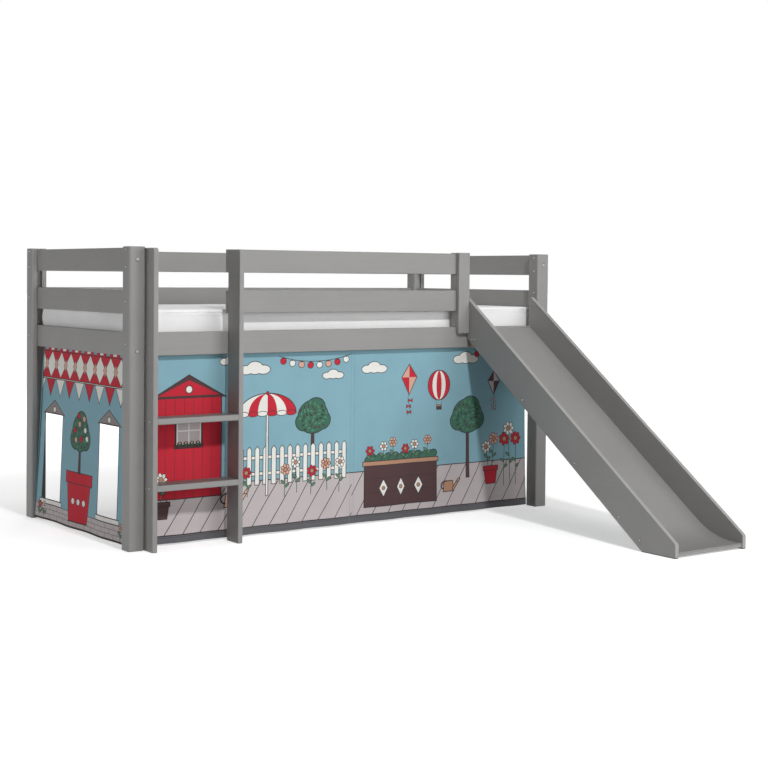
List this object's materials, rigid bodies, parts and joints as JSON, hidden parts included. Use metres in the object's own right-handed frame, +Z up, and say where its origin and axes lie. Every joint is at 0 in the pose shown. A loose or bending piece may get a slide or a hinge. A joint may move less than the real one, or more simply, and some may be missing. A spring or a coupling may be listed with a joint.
{
  "type": "loft bed with slide",
  "caption": "Mid-height child's loft bed on square posts, with board sides, flat-tread ladder, straight slide, mattress and printed curtains round a play space.",
  "frame": {"origin": "on the floor, in the middle of the whole outline, slide included", "axes": "+X to the right along the bed's length as seen from the ladder and slide side, +Y to the back, +Z up"},
  "size_m": [2.077, 2.209, 1.14],
  "materials": {
    "painted_wood": "satin warm grey paint",
    "slat_wood": "bare sanded pine",
    "mattress_cover": "matt white woven cover over foam",
    "curtain_cloth": "thin matt woven cloth with a printed scene",
    "hook_tape": "matt hook-and-loop tape",
    "bolt_cover": "satin grey plastic"
  },
  "bodies": {
    "root": {"post_front_left": "painted_wood", "post_front_right": "painted_wood", "post_back_left": "painted_wood", "post_back_right": "painted_wood", "end_board_left_low": "painted_wood", "end_board_left_middle": "painted_wood", "end_board_left_top": "painted_wood", "end_board_right_low": "painted_wood", "end_board_right_middle": "painted_wood", "end_board_right_top": "painted_wood", "front_rail": "painted_wood", "back_board_low": "painted_wood", "back_board_middle": "painted_wood", "back_board_top": "painted_wood", "guard_board_middle": "painted_wood", "guard_board_top": "painted_wood", "guard_upright_outer": "painted_wood", "guard_upright_inner": "painted_wood", "ladder_stile_left": "painted_wood", "ladder_stile_right": "painted_wood", "ladder_rung_1": "painted_wood", "ladder_rung_2": "painted_wood", "slide_side_left": "painted_wood", "slide_side_right": "painted_wood", "slide_deck": "painted_wood", "slide_nose_bar": "painted_wood", "slide_crossbar_1": "painted_wood", "slide_crossbar_2": "painted_wood", "slide_crossbar_3": "painted_wood", "slide_crossbar_4": "painted_wood", "slide_crossbar_5": "painted_wood", "slat_bearer_front": "painted_wood", "slat_bearer_back": "painted_wood", "slat_1": "slat_wood", "slat_2": "slat_wood", "slat_3": "slat_wood", "slat_4": "slat_wood", "slat_5": "slat_wood", "slat_6": "slat_wood", "slat_7": "slat_wood", "slat_8": "slat_wood", "slat_9": "slat_wood", "slat_10": "slat_wood", "slat_11": "slat_wood", "slat_12": "slat_wood", "slide_cleat": "slat_wood", "mattress": "mattress_cover", "curtain_front_left": "curtain_cloth", "curtain_front_right": "curtain_cloth", "curtain_end": "curtain_cloth", "strip_front_left": "hook_tape", "strip_front_right": "hook_tape", "strip_end": "hook_tape", "bolt_cover_front_left_low": "bolt_cover", "bolt_cover_front_right_low": "bolt_cover", "bolt_cover_front_left_top": "bolt_cover", "bolt_cover_front_right_top": "bolt_cover", "bolt_cover_back_left_top": "bolt_cover", "bolt_cover_back_right_top": "bolt_cover"}
  },
  "joints": []
}
